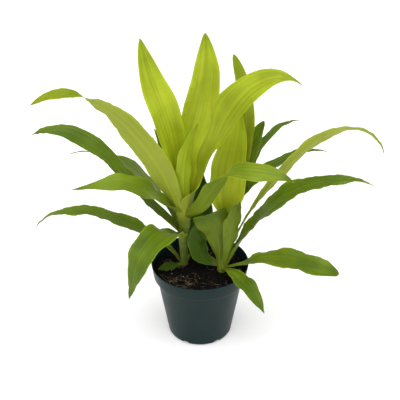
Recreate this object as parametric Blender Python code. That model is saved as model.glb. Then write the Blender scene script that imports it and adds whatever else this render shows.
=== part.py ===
"""Potted dracaena: two leafy stems of lime and green strap leaves in a round nursery pot.

Metres, +Z up. The origin is the middle of the pot's base, on the surface it stands on.
The plant is seen from its front when looking along +Y.
"""

import math
from typing import NamedTuple

import bmesh
import bpy
import numpy as np
from mathutils import Matrix, Vector, noise

for old in list(bpy.data.objects):
    bpy.data.objects.remove(old, do_unlink=True)

MM = 0.001

# Pot: a thin moulded wall with a collar round its mouth and a recessed floor
POT_HEIGHT = 0.091
RIM_RADIUS = 0.054
COLLAR_FOOT_RADIUS = 0.0516
COLLAR_FOOT_HEIGHT = 0.0755
WALL_TOP_RADIUS = 0.0480
WALL_TOP_HEIGHT = 0.0742
WALL_FOOT_RADIUS = 0.0362
WALL_THICKNESS = 0.0012
FOOT_ROUNDING = 0.0040
FOOT_RING_INNER = 0.0262
FLOOR_RECESS = 0.0018
FLOOR_THICKNESS = 0.0014
FLOOR_CORNER = 0.0020
EDGE_BREAK = 0.0004
POT_SIDES = 48

# Drain openings, cut where the wall meets the floor
DRAIN_COUNT = 6
DRAIN_FIRST_ANGLE = 33.0
DRAIN_WIDTH = 0.0075
DRAIN_HEIGHT = 0.0036
DRAIN_DEPTH = 0.0095

# Soil: fills the pot to a little below its rim
SOIL_HEIGHT = 0.083
SOIL_FALL = 0.0012
SOIL_LUMP = 0.0011
SOIL_LUMP_SIZE = 0.009
SOIL_RINGS = 7
SOIL_SIDES = 24
SOIL_CORNER = 0.0045

# What touches keeps this much air, so that no two pieces share a face
GAP = 0.0003

# Stems: a column of wrapped leaf sheaths on a short buried root crown
CROWN_DEPTH = 0.022
CROWN_SHAPE = ((1.0, 0.55), (0.8, 0.95), (0.0, 1.0))
BUD_LENGTH = 0.004
COLUMN_SIDES = 14
LEVELS_PER_RADIUS = 2

# Leaves: thin blades made of rows of points, five across
BLADE_THICKNESS = 0.0008
ROW_SPACING = 0.012
FEWEST_ROWS = 6
CELLS_ACROSS = 4
MIDRIB_STEPS = 120

# A blade is bent across: round the column at its foot, opening out to a shallow channel
CHANNEL_RADIUS = 0.045
CHANNEL_LENGTH = 0.35

# Edge waves: height as a share of the blade's width, and the lag between its two edges
WAVE_HEIGHT = 0.06
WAVE_LAG = 1.7
WAVE_START = 0.25


class Stem(NamedTuple):
    """A column of sheaths: the middle of its foot on the soil, its top, and its radii in mm."""
    foot: tuple
    top: tuple
    radii: tuple


class Leaf(NamedTuple):
    """One strap leaf. Lengths are in mm and angles in degrees, listed from foot to tip."""
    stem: str
    height: float     # of its foot above the floor
    side: float       # compass of the foot round the stem: 0 is +X, 90 is +Y
    heading: tuple    # compass of the midrib
    climb: tuple      # climb of the midrib above level
    length: float
    width: float
    roll: tuple       # turn of the blade about its midrib
    widest: float     # where the blade is widest, as a share of its length
    point: float      # how drawn out the tip is
    neck: float       # width at the foot, as a share of the full width
    age: str
    waves: float = 3.5


STEMS = {
    "stem_left": Stem((-0.0175, 0.0055), (-0.0180, 0.0055, 0.174), (4.4, 5.2, 6.0, 7.0, 7.6, 6.8, 2.6)),
    "stem_right": Stem((0.0235, -0.0060), (0.0290, -0.0040, 0.134), (4.2, 4.6, 4.6, 4.0, 1.6)),
}

LEAVES = {
    "leaf_left_tall": Leaf(
        "stem_left", 160, 160, (160, 140, 138), (89, 90, 85, 67, 60, 67, 78), 186, 33,
        (0, -20, -35), 0.52, 0.95, 0.28, "young"),
    "leaf_left_centre": Leaf(
        "stem_left", 160, 75, (75, 50, 50, 50), (80, 78, 69, 67, 76, 90, 104), 187, 36,
        (0, 20, 30, 20), 0.50, 0.78, 0.26, "young"),
    "leaf_left_broad_arch": Leaf(
        "stem_left", 154, 340, (345, 360, 355), (84, 70.5, 71, 67, 53, 20, -48), 217, 41,
        (0, 10, 13, 22, 42, 30, 5), 0.54, 1.25, 0.24, "young"),
    "leaf_left_spear": Leaf(
        "stem_left", 160, 270, (270, 290, 320, 350, 360), (88, 87, 84, 73, 62), 108, 17,
        (0, -10, -25, -45, -60), 0.50, 1.1, 0.30, "young"),
    "leaf_left_long_arch": Leaf(
        "stem_left", 152, 236, (230, 190, 176), (74, 66, 54, 29, -44), 242, 28,
        (0, 40, 62, 68, 62, 44, -10, -38), 0.40, 0.95, 0.28, "young"),
    "leaf_left_upper_side": Leaf(
        "stem_left", 130, 178, (182, 178), (48, 54, 53, 29, -32), 204, 20,
        (0, -15, -25, -30, -10), 0.74, 1.5, 0.30, "old"),
    "leaf_left_behind": Leaf(
        "stem_left", 132, 125, (130, 163, 158), (38, 44, 27, 6, -36), 166, 26,
        (0, 50, 70, 30, 0), 0.40, 1.6, 0.30, "old"),
    "leaf_left_level": Leaf(
        "stem_left", 148, 215, (215, 195, 190), (61, 52, 22, 2, -4), 134, 32,
        (0, -15, -25, -20), 0.30, 1.4, 0.26, "middle"),
    "leaf_left_lowest": Leaf(
        "stem_left", 90, 180, (178, 178), (57, 33, 20, -8, -66), 192, 24,
        (0, 0, 0), 0.40, 1.3, 0.30, "old"),
    "leaf_left_drooping": Leaf(
        "stem_left", 124, 250, (248, 217), (42, 34, -18, -66, -74), 132, 38,
        (0, 0, 0), 0.40, 1.1, 0.28, "middle"),
    "leaf_left_back": Leaf(
        "stem_left", 147, 105, (110, 122), (58, 58, 48, 33, 25), 102, 16,
        (0, 0, 0), 0.50, 1.2, 0.40, "old"),
    "leaf_left_crossing": Leaf(
        "stem_left", 153, 285, (318, 325, 330, 340, 345), (20, 44, 60, 61, 52, 14, 4, -2, -30), 158, 25,
        (-75, -65, -45, -15, 20, 30, 25), 0.62, 1.0, 0.28, "young"),
    "leaf_left_inner": Leaf(
        "stem_left", 90, 50, (45, 70), (50, 62, 80, 90, 92), 106, 28,
        (0, 20, 20), 0.40, 1.2, 0.25, "old"),
    "leaf_left_small": Leaf(
        "stem_left", 86, 225, (205, 200), (3, 8, 2, -8, -10), 27, 11,
        (0, -20, -20), 0.50, 1.0, 0.40, "old"),
    "leaf_right_broad": Leaf(
        "stem_right", 128, 92, (88, 62, 58), (83, 81, 77, 71, 70), 140, 41,
        (0, 5, 10), 0.40, 0.9, 0.20, "young"),
    "leaf_right_tall": Leaf(
        "stem_right", 119, 38, (42, 72, 160), (70, 73, 75, 72, 68), 206, 17,
        (0, 0, -30), 0.72, 0.6, 0.32, "young"),
    "leaf_right_long_arch": Leaf(
        "stem_right", 102, 15, (8, -3, -9), (74, 68, 59, 56, 52, 44, 24, -28, -80), 255, 18,
        (0, -50, -60, -50, -30), 0.64, 1.2, 0.18, "young"),
    "leaf_right_dark": Leaf(
        "stem_right", 91, 350, (344, 353, 356), (68, 67, 57, 56, 44, 27, 13, 2, -40), 211, 31,
        (0, 10, 15), 0.42, 1.4, 0.17, "old"),
    "leaf_right_blunt": Leaf(
        "stem_right", 89, 335, (-22, -8), (24, 31, 1, -12, -15), 130, 30,
        (0, 10, 15), 0.60, 0.5, 0.14, "middle"),
    "leaf_right_drooping": Leaf(
        "stem_right", 87, 290, (300, 308), (40, 5, -7, -33, -44), 83, 20,
        (0, 0, 0), 0.50, 1.1, 0.25, "middle"),
    "leaf_right_fan": Leaf(
        "stem_right", 92, 238, (238, 215, 195), (90, 88, 84, 75, 66, 62), 73, 40,
        (0, 35, 50, 65, 70), 0.95, 0.35, 0.14, "middle"),
    "leaf_right_fan_side": Leaf(
        "stem_right", 98, 300, (300, 318, 342), (72, 80, 84, 76, 74), 84, 20,
        (0, -30, -30), 0.70, 0.8, 0.18, "middle"),
    "leaf_right_back_upper": Leaf(
        "stem_right", 113, 83, (83, 56, 46, 33, 23), (54, 58, 58, 55, 44, 26, -22), 178, 20,
        (0, 0, 0), 0.45, 1.3, 0.22, "old"),
    "leaf_right_back_peak": Leaf(
        "stem_right", 106, 112, (112, 84, 52, 30), (66, 72, 72), 156, 20,
        (0, 40, 40), 0.60, 0.8, 0.24, "old"),
    "leaf_right_back_lower": Leaf(
        "stem_right", 97, 40, (40, 30, 26, 20, 12, 6), (64, 70, 76, 72, 34, 26, 22, 4, -26), 192, 20,
        (0, 0, 0), 0.55, 1.3, 0.16, "old"),
    "leaf_right_inner": Leaf(
        "stem_right", 90, 185, (175, 150), (15, 40, 74, 82, 88), 60, 24,
        (0, -30, -50), 0.50, 1.0, 0.35, "old"),
}

# Colour and roughness of each finish
FINISHES = {
    "pot": ((0.020, 0.040, 0.042), 0.45),
    "soil": ((0.020, 0.014, 0.010), 0.95),
    "stem": ((0.220, 0.300, 0.070), 0.55),
    "young": ((0.350, 0.460, 0.030), 0.45),
    "middle": ((0.150, 0.300, 0.012), 0.45),
    "old": ((0.060, 0.170, 0.018), 0.45),
}


def make_material(name, finish):
    """A plain Principled material in one of the finishes."""
    colour, roughness = FINISHES[finish]
    material = bpy.data.materials.new(name)
    material.use_nodes = True
    shader = material.node_tree.nodes["Principled BSDF"]
    shader.inputs["Base Color"].default_value = (*colour, 1.0)
    shader.inputs["Roughness"].default_value = roughness
    shader.inputs["Metallic"].default_value = 0.0
    return material


def add_object(name, bm, finish, smooth_angle=40):
    """Turns a bmesh into a named object with its own material, smooth up to an angle."""
    bmesh.ops.recalc_face_normals(bm, faces=bm.faces)
    mesh = bpy.data.meshes.new(name)
    bm.to_mesh(mesh)
    bm.free()
    mesh.materials.append(make_material(name, finish))
    mesh.shade_smooth()
    mesh.set_sharp_from_angle(angle=math.radians(smooth_angle))
    obj = bpy.data.objects.new(name, mesh)
    bpy.context.scene.collection.objects.link(obj)
    return obj


def cut_away(obj, name, bm):
    """Cuts a bmesh out of an object with a Boolean, its cutter kept as a hidden wire object."""
    cutter = add_object(name + "_cutter", bm, "soil")
    cutter.hide_render = True
    cutter.display_type = "WIRE"
    cut = obj.modifiers.new(name, "BOOLEAN")
    cut.operation = "DIFFERENCE"
    cut.object = cutter


def turned(profile, sides):
    """A closed body turned round Z from a profile that starts and ends on the axis."""
    bm = bmesh.new()
    verts = [bm.verts.new((radius, 0.0, height)) for radius, height in profile]
    edges = [bm.edges.new(pair) for pair in zip(verts, verts[1:])]
    bmesh.ops.spin(bm, geom=verts + edges, cent=(0, 0, 0), axis=(0, 0, 1), angle=math.tau, steps=sides)
    bmesh.ops.remove_doubles(bm, verts=bm.verts, dist=GAP / 100)
    return bm


def inner_wall(height):
    """Radius of the pot's inner face at a height below the collar."""
    taper = (WALL_TOP_RADIUS - WALL_FOOT_RADIUS) / WALL_TOP_HEIGHT
    return WALL_FOOT_RADIUS + taper * height - WALL_THICKNESS


def pot_profile():
    """The pot's section, from the underside's middle round the rim to the middle of its floor."""
    outside = [(0.0, FLOOR_RECESS), (FOOT_RING_INNER - 3 * EDGE_BREAK, FLOOR_RECESS), (FOOT_RING_INNER, 0.0)]
    for degrees in (0, 30, 60, 90):
        turn = math.radians(degrees)
        outside.append((
            WALL_FOOT_RADIUS - FOOT_ROUNDING * (1 - math.sin(turn)),
            FOOT_ROUNDING * (1 - math.cos(turn)),
        ))
    outside += [
        (WALL_TOP_RADIUS, WALL_TOP_HEIGHT),
        (COLLAR_FOOT_RADIUS - EDGE_BREAK, COLLAR_FOOT_HEIGHT - EDGE_BREAK),
        (COLLAR_FOOT_RADIUS, COLLAR_FOOT_HEIGHT + EDGE_BREAK),
        (RIM_RADIUS, POT_HEIGHT - EDGE_BREAK),
        (RIM_RADIUS - EDGE_BREAK, POT_HEIGHT),
    ]
    floor = FLOOR_RECESS + FLOOR_THICKNESS
    inside = [
        (RIM_RADIUS - WALL_THICKNESS, POT_HEIGHT),
        (COLLAR_FOOT_RADIUS - WALL_THICKNESS, COLLAR_FOOT_HEIGHT + WALL_THICKNESS),
        (WALL_TOP_RADIUS - WALL_THICKNESS, WALL_TOP_HEIGHT + EDGE_BREAK),
        (inner_wall(floor + FLOOR_CORNER), floor + FLOOR_CORNER),
        (inner_wall(floor + FLOOR_CORNER) - FLOOR_CORNER, floor),
        (0.0, floor),
    ]
    return outside + inside


def make_pot():
    """The moulded pot, with its drain openings cut through the lower corner."""
    pot = add_object("pot", turned(pot_profile(), POT_SIDES), "pot")
    drains = bmesh.new()
    for k in range(DRAIN_COUNT):
        turn = Matrix.Rotation(math.radians(DRAIN_FIRST_ANGLE - 90 + 360 * k / DRAIN_COUNT), 4, "Z")
        place = Matrix.Translation((WALL_FOOT_RADIUS + 2.5 * EDGE_BREAK, 0.0, 0.0))
        size = Matrix.Diagonal((DRAIN_DEPTH, DRAIN_WIDTH, 2 * DRAIN_HEIGHT, 1.0))
        bmesh.ops.create_cube(drains, size=1.0, matrix=turn @ place @ size)
    cut_away(pot, "drains", drains)


def soil_top(x, y):
    """Height of the lumpy soil at a place, falling a little towards the wall."""
    away = math.hypot(x, y) / RIM_RADIUS
    lump = noise.noise(Vector((x / SOIL_LUMP_SIZE, y / SOIL_LUMP_SIZE, 0.0)))
    return SOIL_HEIGHT + SOIL_LUMP * lump - SOIL_FALL * away ** 4


def make_soil():
    """The potting mix as one solid that follows the pot's inner face, with a hole for each stem."""
    floor = FLOOR_RECESS + FLOOR_THICKNESS + GAP
    over_drains = floor + DRAIN_HEIGHT
    edge = COLLAR_FOOT_RADIUS - WALL_THICKNESS - GAP
    wall = [
        (0.0, floor),
        (inner_wall(over_drains) - SOIL_CORNER, floor),
        (inner_wall(over_drains) - GAP, over_drains),
        (WALL_TOP_RADIUS - WALL_THICKNESS - GAP, WALL_TOP_HEIGHT + EDGE_BREAK + GAP),
        (edge, COLLAR_FOOT_HEIGHT + WALL_THICKNESS + GAP),
    ]
    top = [(edge * (1 - k / SOIL_RINGS), SOIL_HEIGHT) for k in range(SOIL_RINGS + 1)]
    bm = turned(wall + top, SOIL_SIDES)
    for vertex in bm.verts:
        if vertex.co.z > SOIL_HEIGHT - GAP:
            vertex.co.z = soil_top(vertex.co.x, vertex.co.y)
    soil = add_object("soil", bm, "soil", smooth_angle=60)
    for name, stem in STEMS.items():
        hole = bmesh.new()
        radius = stem.radii[0] * MM + GAP
        bmesh.ops.create_cone(hole, cap_ends=True, segments=COLUMN_SIDES, radius1=radius, radius2=radius,
                              depth=2 * (CROWN_DEPTH + GAP))
        bmesh.ops.translate(hole, verts=hole.verts, vec=(*stem.foot, SOIL_HEIGHT))
        cut_away(soil, name + "_hole", hole)


def column_at(stem, height):
    """Middle and radius of a stem's column at a height above the floor."""
    foot = Vector((*stem.foot, SOIL_HEIGHT))
    top = Vector(stem.top)
    along = (height - foot.z) / (top.z - foot.z)
    radius = np.interp(along, np.linspace(0, 1, len(stem.radii)), stem.radii) * MM
    return foot.lerp(top, along), float(radius)


def make_stem(name, stem):
    """A stem: the buried root crown and the column of sheaths, closed with a small bud."""
    levels = []
    for depth, share in CROWN_SHAPE:
        levels.append((Vector((*stem.foot, SOIL_HEIGHT - CROWN_DEPTH * depth)), stem.radii[0] * MM * share))
    steps = LEVELS_PER_RADIUS * (len(stem.radii) - 1)
    for k in range(1, steps + 1):
        levels.append(column_at(stem, SOIL_HEIGHT + (stem.top[2] - SOIL_HEIGHT) * k / steps))
    bm = bmesh.new()
    rings = []
    for middle, radius in levels:
        made = bmesh.ops.create_circle(bm, segments=COLUMN_SIDES, radius=radius, matrix=Matrix.Translation(middle))
        rings.append(made["verts"])
    bm.faces.new(rings[0])
    bud = bm.verts.new(Vector(stem.top) + Vector((0.0, 0.0, BUD_LENGTH)))
    for k in range(COLUMN_SIDES):
        after = (k + 1) % COLUMN_SIDES
        for lower, upper in zip(rings, rings[1:]):
            bm.faces.new((lower[k], lower[after], upper[after], upper[k]))
        bm.faces.new((rings[-1][k], rings[-1][after], bud))
    add_object(name, bm, "stem", smooth_angle=50)


def ease(share):
    """A smooth rise from 0 to 1."""
    share = np.clip(share, 0.0, 1.0)
    return share * share * (3 - 2 * share)


def along_leaf(values, share):
    """Values listed evenly from foot to tip, read at shares of the leaf's length."""
    return np.interp(share, np.linspace(0, 1, len(values)), values)


def midrib(leaf):
    """Points down a leaf's midrib, with the blade's two directions, half width and bend across."""
    share = np.linspace(0, 1, MIDRIB_STEPS + 1)
    heading = np.radians(along_leaf(leaf.heading, share))
    climb = np.radians(along_leaf(leaf.climb, share))
    roll = np.radians(along_leaf(leaf.roll, share))[:, None]
    tangent = np.stack([np.cos(climb) * np.cos(heading), np.cos(climb) * np.sin(heading), np.sin(climb)], -1)
    level = np.stack([-np.sin(heading), np.cos(heading), np.zeros_like(heading)], -1)
    upper = np.cross(tangent, level)
    across = level * np.cos(roll) + upper * np.sin(roll)
    face = upper * np.cos(roll) - level * np.sin(roll)
    middle, radius = column_at(STEMS[leaf.stem], leaf.height * MM)
    side = math.radians(leaf.side)
    reach = radius + GAP + BLADE_THICKNESS
    foot = np.array(middle) + reach * np.array([math.cos(side), math.sin(side), 0.0])
    steps = (tangent[1:] + tangent[:-1]) / 2 * leaf.length * MM / MIDRIB_STEPS
    path = foot + np.concatenate([np.zeros((1, 3)), np.cumsum(steps, axis=0)])
    widening = leaf.neck + (1 - leaf.neck) * ease(share / leaf.widest)
    narrowing = 1 - np.clip((share - leaf.widest) / (1 - leaf.widest), 0, 1) ** 2
    half_width = leaf.width * MM / 2 * widening * narrowing ** leaf.point
    opened = ease(share / CHANNEL_LENGTH)
    bend = (1 - opened) / reach + opened / CHANNEL_RADIUS
    return share, path, across, face, half_width, bend


def blade_row(leaf, rib, step):
    """One row of points across the blade, bent to an arc and waved at its edges."""
    share, path, across, face, half_width, bend = (values[step] for values in rib)
    row = []
    for cell in range(CELLS_ACROSS + 1):
        aside = 2 * cell / CELLS_ACROSS - 1
        lag = WAVE_LAG if aside > 0 else 0.0
        wave = WAVE_HEIGHT * 2 * half_width * aside ** 2 * math.sin(math.tau * leaf.waves * share + lag)
        turn = half_width * aside * bend
        lift = (1 - math.cos(turn)) / bend + wave * ease(share / WAVE_START)
        row.append(Vector(path + across * (math.sin(turn) / bend) + face * lift))
    return row


def make_leaf(name, leaf):
    """A leaf: a sheet of triangles from foot to pointed tip, given its thickness evenly."""
    rib = midrib(leaf)
    rows = max(FEWEST_ROWS, round(leaf.length * MM / ROW_SPACING))
    bm = bmesh.new()
    grid = []
    for row in range(rows):
        step = round(row * MIDRIB_STEPS / rows)
        grid.append([bm.verts.new(point) for point in blade_row(leaf, rib, step)])
    path = rib[1]
    tip = bm.verts.new(Vector(path[-1]))
    for near, far in zip(grid, grid[1:]):
        for k in range(CELLS_ACROSS):
            bm.faces.new((near[k], far[k], far[k + 1]))
            bm.faces.new((near[k], far[k + 1], near[k + 1]))
    for k in range(CELLS_ACROSS):
        bm.faces.new((grid[-1][k], tip, grid[-1][k + 1]))
    obj = add_object(name, bm, leaf.age, smooth_angle=60)
    thickness = obj.modifiers.new("thickness", "SOLIDIFY")
    thickness.thickness = BLADE_THICKNESS
    thickness.offset = 0.0


def main():
    make_pot()
    make_soil()
    for name, stem in STEMS.items():
        make_stem(name, stem)
    for name, leaf in LEAVES.items():
        make_leaf(name, leaf)


main()
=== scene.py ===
"""Potted dracaena: the looks of its leaves, stems, soil and pot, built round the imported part.

Metres, +Z up. The origin is the middle of the pot's base, on the floor.
The plant is seen from its front when looking along +Y.
"""

import math
import random
from typing import NamedTuple

import bmesh
import bpy
import numpy as np
from mathutils import Matrix, Vector, noise


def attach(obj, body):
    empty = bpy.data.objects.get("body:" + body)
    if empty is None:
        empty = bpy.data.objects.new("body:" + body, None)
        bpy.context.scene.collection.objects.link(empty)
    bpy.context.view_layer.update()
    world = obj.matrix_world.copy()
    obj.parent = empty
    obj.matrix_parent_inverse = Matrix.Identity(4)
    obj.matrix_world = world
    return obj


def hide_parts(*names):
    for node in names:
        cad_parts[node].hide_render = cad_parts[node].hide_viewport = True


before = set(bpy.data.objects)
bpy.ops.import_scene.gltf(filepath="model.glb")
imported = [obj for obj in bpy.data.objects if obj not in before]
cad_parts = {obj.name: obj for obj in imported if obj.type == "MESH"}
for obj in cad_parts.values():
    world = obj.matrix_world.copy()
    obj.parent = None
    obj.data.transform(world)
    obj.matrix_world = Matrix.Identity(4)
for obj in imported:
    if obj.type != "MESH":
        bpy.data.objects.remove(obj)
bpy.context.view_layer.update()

MM = 0.001
TAU = math.tau
SMOOTH_ANGLE = 35

# Camera: the photograph's, as solved from the pot's rim and foot
CAMERA_PLACE = (0.0, -0.7801, 0.6332)
CAMERA_PITCH = 30.7
CAMERA_LENS = 76.8
FILM_WIDTH = 36.0
NEAREST_SEEN = 0.01

# Floor and light: each lamp's strength, and its turns about X and Y in degrees
WHITE = (1.0, 1.0, 1.0, 1.0)
FLOOR_SIZE = 6.0
FLOOR_LOOK = {
    "Base Color": (0.9, 0.9, 0.9, 1.0), "Roughness": 0.9, "Specular IOR Level": 0.1,
    "Emission Color": WHITE, "Emission Strength": 0.22,
}
SKY_STRENGTH = 0.36
LAMP_SPREAD = 60
LAMPS = {
    "lamp_above": (1.9, 8, 0),
    "lamp_front": (1.1, 55, 0),
    "lamp_left": (0.6, 15, -62),
    "lamp_right": (0.6, 15, 62),
}

# Pot: a thin moulded wall with a collar round its mouth and a recessed floor
POT_HEIGHT = 0.091
RIM_RADIUS = 0.054
COLLAR_FOOT_RADIUS = 0.0516
COLLAR_FOOT_HEIGHT = 0.0755
WALL_TOP_RADIUS = 0.048
WALL_TOP_HEIGHT = 0.0742
WALL_FOOT_RADIUS = 0.0362
WALL_THICKNESS = 0.0012
FOOT_ROUNDING = 0.004
FOOT_RING_INNER = 0.0262
FLOOR_RECESS = 0.0018
FLOOR_THICKNESS = 0.0014
FLOOR_CORNER = 0.002
EDGE_BREAK = 0.0004
POT_SIDES = 144
DRAIN_COUNT = 6
DRAIN_FIRST_ANGLE = 33.0
DRAIN_WIDTH = 0.0075
DRAIN_HEIGHT = 0.0036
DRAIN_DEPTH = 0.0095

# Soil: a body with broad lumps and a fine grain on its top, and the round that things are strewn on
SOIL_HEIGHT = 0.083
SOIL_FALL = 0.0012
SOIL_LUMP = 0.0017
SOIL_LUMP_SIZE = 0.009
SOIL_GRAIN = 0.0009
SOIL_GRAIN_SCALE = 260.0
SOIL_BASE_BEVEL = 0.0045
SOIL_SMOOTH_ANGLE = 60
SOIL_SIDES = 96
SOIL_RINGS = 40
STREWN_RADIUS = 0.0478
STREWN_RINGS = 24
STREWN_SIDES = 72

# Lumps on the soil: how many to a square metre, their radii, and how they are shaped and leant
LUMPS = {
    "soil_crumbs": {
        "Density": 230000.0, "Detail": 1, "Smallest": 0.5 * MM, "Largest": 1.9 * MM,
        "Proportions": (1.0, 0.9, 0.7), "Ruggedness": 1.6, "Tilt": 1.5, "Seed": 3,
    },
    "bark_chips": {
        "Density": 26000.0, "Detail": 2, "Smallest": 1.2 * MM, "Largest": 3.2 * MM,
        "Proportions": (1.0, 0.5, 0.22), "Ruggedness": 1.8, "Tilt": 0.5, "Seed": 8,
    },
    "pale_grains": {
        "Density": 2600.0, "Detail": 2, "Smallest": 0.4 * MM, "Largest": 0.9 * MM,
        "Proportions": (1.0, 0.9, 0.8), "Ruggedness": 1.4, "Tilt": 1.5, "Seed": 21,
    },
}
LUMP_KNOBS = 1.4

# Fine dry roots: wandering lines in short steps, every second one in a tangle at the front left
FIBRE_COUNT = 52
FIBRE_SEED = 17
FIBRE_AREA = (0.02, 0.8)
FIBRE_TANGLE = (-0.017, -0.03)
FIBRE_TANGLE_SIZE = (0.35, 0.22)
FIBRE_STEP = 0.0009
FIBRE_STEPS = (10, 32)
FIBRE_SWERVE = 0.2
FIBRE_SHAKE = 0.25
FIBRE_RADIUS = 0.00019
FIBRE_RADII = (0.6, 1.5)
FIBRE_END = 0.35
FIBRE_FORM = {"Lift": 0.9 * MM, "Kinks": 160.0, "Sides": 5}
DROP_LENGTH = 0.05

# What lies on the soil: finish, dark and pale colour, scale of its patches and roughness
LOOSE_LOOKS = {
    "soil_crumbs": ("peat_crumbs", (0.0010, 0.0009, 0.0009), (0.0085, 0.0066, 0.0054), 380.0, 0.9),
    "bark_chips": ("bark_chips", (0.004, 0.003, 0.002), (0.034, 0.021, 0.013), 150.0, 0.75),
    "pale_grains": ("pale_grains", (0.30, 0.28, 0.24), (0.62, 0.60, 0.54), 700.0, 0.8),
    "root_fibres": ("dry_roots", (0.060, 0.040, 0.022), (0.300, 0.215, 0.130), 120.0, 0.7),
}

# Stems and the leaves' feet
GAP = 0.0003
CAD_BLADE_THICKNESS = 0.0008
COLUMN_STEPS = 60
COLUMN_SHARE = 0.9
COLUMN_FORM = {
    "Sides": 40, "Ridge Height": 0.15 * MM, "Ridges": 700.0,
    "Ring Height": 0.25 * MM, "Ring Spacing": 0.009, "Ring Wander": 0.006, "Ring Edge": 0.0012,
}
ROOT_DEPTH = 0.006

# Blades
ROW_LENGTH = 0.0016
BLADE_HALF_THICKNESS = 0.0003
TIP_HALF_THICKNESS = 0.00014
TAIL_HALF_WIDTH = 0.00035
TAIL_ROWS = 3
CHANNEL_RADIUS = 0.045
RIPPLE_LENGTH = 0.014
RIB_WIDTH = 0.0011
BLADE_FORM = {
    "Cells Across": 32,
    "Edge Wave": 0.06,   # height, as a share of the blade's width
    "Wave Lag": 1.7,     # between the two edges, in radians
    "Wave Start": 0.25,  # share of the length over which waves set in
    "Tip Calm": 0.06,    # share of the length over which ripples and pleats die out
    "Pleat Height": 0.28 * MM, "Pleats": 7.0, "Pleat Drift": 1.5,
    "Groove Depth": 0.5 * MM, "Rib Height": 0.5 * MM, "Rib Width": RIB_WIDTH,
}
EDGE_POWER = 2.5  # keeps ripples to the edges
MIDDLE_POWER = 4  # keeps the thickness and the pleats away from them
WELD = MM / 100

# The part of a leaf that clasps the stem
SHEATH_TURN = 0.01
SHEATH_CLIMB = 86.0
SHEATH_WRAP = 2.3
SHEATH_SPREAD = 1.3
SHEATH_LEAST_ROWS = 4

# Colours of the leaves by age: the upper side's light and deep colour, the under side and the foot. One set
# is the middle colours with painted shade darkening the under side and foot, for a leaf shaded by the leaves
# above it
LEAF_COLOURS = {
    "young": ((0.45, 0.52, 0.020), (0.18, 0.23, 0.001), (0.27, 0.31, 0.035), (0.29, 0.33, 0.028)),
    "bud": ((0.45, 0.52, 0.020), (0.18, 0.23, 0.001), (0.30, 0.385, 0.014), (0.24, 0.29, 0.012)),
    "middle": ((0.20, 0.285, 0.008), (0.050, 0.098, 0.001), (0.13, 0.175, 0.014), (0.20, 0.25, 0.022)),
    # painted shade: a copy of the middle colours, darker on the under side and foot, for the leaf that lies
    # in the shade of those above it
    "sheltered": ((0.22, 0.30, 0.010), (0.060, 0.105, 0.001), (0.12, 0.168, 0.003), (0.125, 0.155, 0.003)),
    "old": ((0.145, 0.22, 0.010), (0.042, 0.090, 0.001), (0.12, 0.17, 0.016), (0.17, 0.21, 0.020)),
}
CLASPING = (0.13, 0.18, 0.012, 1.0)
TAN = (0.27, 0.20, 0.075, 1.0)
DRY = (0.045, 0.030, 0.018, 1.0)
LEAF_LOOK = {
    "Specular IOR Level": 0.2, "Subsurface Weight": 0.6, "Subsurface Radius": (0.9, 1.0, 0.25),
    "Subsurface Scale": 0.001,
}

# Marks on a blade: the scale of its broad patches, its bands and veins to half its width and to its
# length, and its fine veins and the fingers of a dried tip to a metre across and along
PATCH_SCALE = 28.0
BANDS = (6.0, 1.6)
VEINS = (30.0, 2.5)
FINE_VEINS = (2600.0, 60.0)
TIP_FINGERS = (400.0, 90.0)
FINGER_LENGTH = 0.006

# Where its colours fade, from and to
RIB_FADE = (0.0003, RIB_WIDTH)  # metres from the midrib
RIB_END_FADE = (0.45, 0.95)  # share of the length
FOOT_FADE = (-0.02, 0.16)  # share of the length
CLASPING_FADE = (-0.013, 0.002)  # metres past the foot
MARGIN_FADE = (0.9, 0.99)  # share of half the width
TIP_FADE = (0.002, 0.02)  # metres from the tip

# How a dried tip fades: from and to these shares of its length, and a blur in metres
TAN_FADE = (0.7, 1.0, 0.0015)
DRY_FADE = (0.1, 0.45, 0.0008)


class Stem(NamedTuple):
    """A column of sheaths: the middle of its foot on the soil, its top, and its radii in mm."""
    foot: tuple
    top: tuple
    radii: tuple


class Leaf(NamedTuple):
    """One strap leaf. Lengths are in mm and angles in degrees, listed from foot to tip."""
    stem: str
    height: float     # of its foot above the floor
    side: float       # compass of the foot round the stem: 0 is +X, 90 is +Y
    heading: tuple    # compass of the midrib
    climb: tuple      # climb of the midrib above level
    length: float
    width: float
    roll: tuple       # turn of the blade about its midrib
    widest: float     # where the blade is widest, as a share of its length
    point: float      # how drawn out the tip is
    neck: float       # width at the foot, as a share of the full width
    age: str          # which colours it has
    ripple: float = 0.6    # height of the small waves along its edges
    # tone is partly a leaf's own colour and partly painted light and shade: it lightens leaves that lie in
    # shade and darkens those deep inside the crown
    tone: float = 0.0      # lighter above 0, darker below
    burn: float = 3.0      # length of the dried tip
    sheath: float = 22.0   # length of the part that clasps the stem
    waves: float = 3.5     # how many large waves each edge has
    opening: float = 0.35  # share of its length over which the clasping foot opens out


LEFT = "stem_left"
RIGHT = "stem_right"
STEMS = {
    LEFT: Stem((-0.0175, 0.0055), (-0.018, 0.0055, 0.174), (4.4, 5.2, 6.0, 7.0, 7.6, 6.8, 2.6)),
    RIGHT: Stem((0.0235, -0.0060), (0.0290, -0.0040, 0.134), (4.2, 4.6, 4.6, 4.0, 1.6)),
}

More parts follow.
